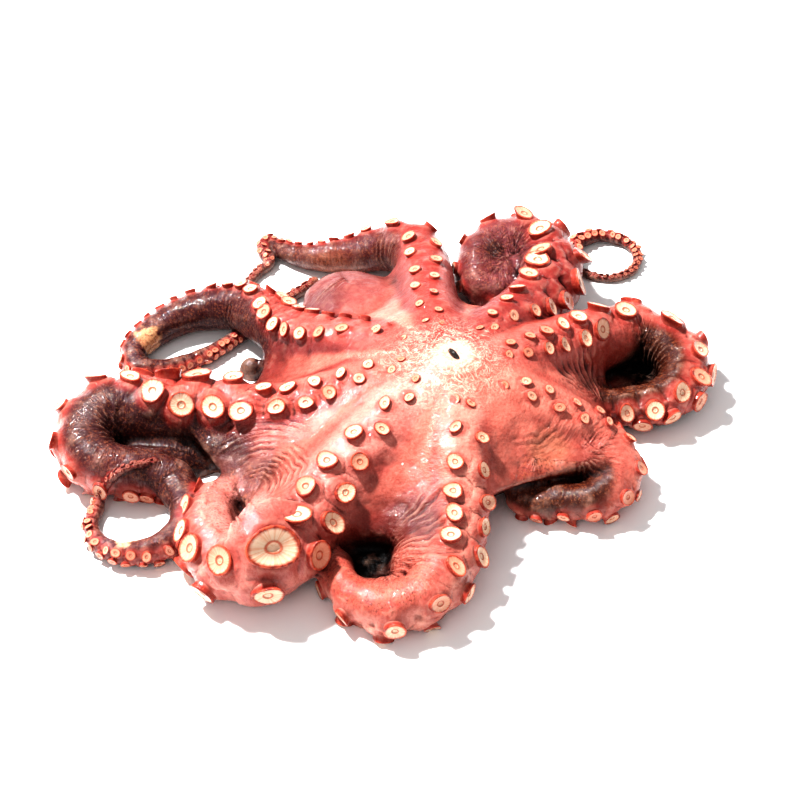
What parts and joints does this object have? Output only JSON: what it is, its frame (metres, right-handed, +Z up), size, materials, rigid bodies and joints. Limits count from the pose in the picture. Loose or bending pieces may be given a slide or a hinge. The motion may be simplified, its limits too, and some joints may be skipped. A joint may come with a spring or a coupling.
{
  "type": "whole octopus",
  "caption": "Whole raw octopus lying on its back with the mouth up, webbed arms spread and curled outwards, rows of suckers on their upper sides.",
  "frame": {"origin": "on the table, straight below the mouth, in the flat resting face of the head", "axes": "+Z up, out of the mouth; +X to the viewer's right, along the longest extent; +Y away from the viewer, towards the bag of the body"},
  "size_m": [0.4332, 0.3955, 0.0772],
  "materials": {
    "flesh": "wet, smooth, pink on the sucker side and purple-brown on the outer skin",
    "beak": "glossy black horn"
  },
  "bodies": {
    "root": {"octopus": "flesh", "beak": "beak"}
  },
  "joints": []
}
